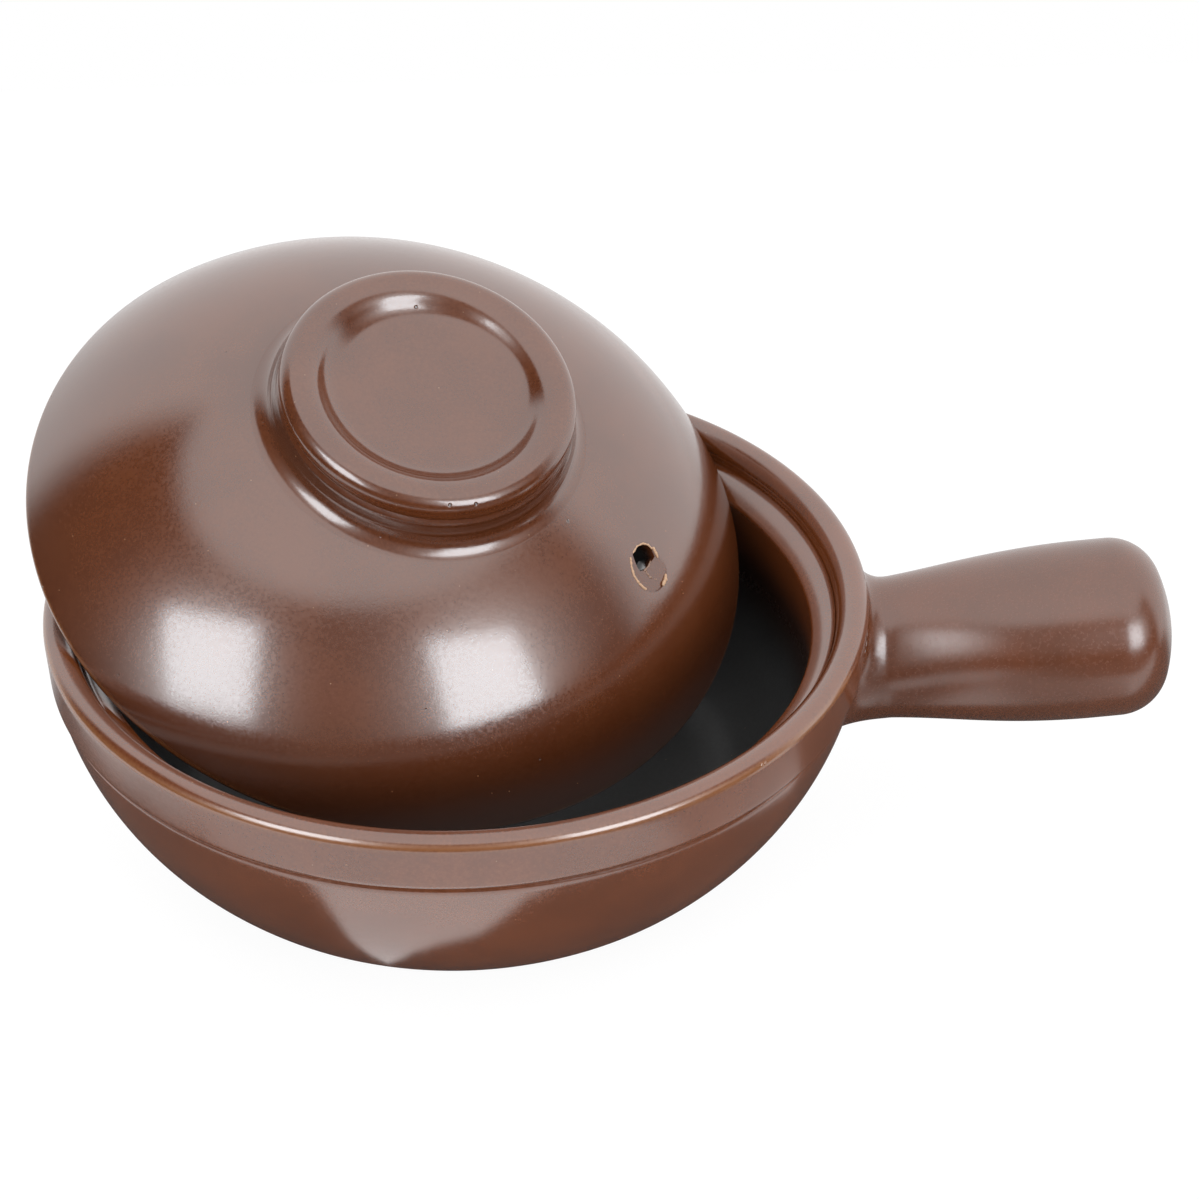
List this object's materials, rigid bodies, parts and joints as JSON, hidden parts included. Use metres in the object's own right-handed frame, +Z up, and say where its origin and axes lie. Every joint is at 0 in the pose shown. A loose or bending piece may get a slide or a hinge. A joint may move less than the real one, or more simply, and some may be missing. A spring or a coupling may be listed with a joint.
{
  "type": "clay pot",
  "caption": "Round-bottomed glazed clay pot with a stubby side handle and a domed lid with a ring knob, leaning in the mouth.",
  "frame": {"origin": "middle of the flat base, on the surface that the pot stands on", "axes": "+Z up along the bowl's axis, +X from the bowl's middle towards the end of the handle"},
  "size_m": [0.2795, 0.2097, 0.1349],
  "materials": {
    "brown_glaze": "satin brown glaze outside, black liner glaze inside",
    "brown_glaze_handle": "satin brown glaze",
    "brown_glaze_lid": "satin brown glaze outside, black liner glaze inside",
    "brown_glaze_knob": "satin brown glaze"
  },
  "bodies": {
    "pot": {"bowl": "brown_glaze", "handle": "brown_glaze_handle"},
    "lid": {"lid_dome": "brown_glaze_lid", "lid_knob": "brown_glaze_knob"}
  },
  "joints": [
    {"name": "lid_lift", "type": "slide", "parent": "pot", "child": "lid", "axis": [0, 0, 1], "range_m": [0, 0.08]}
  ]
}
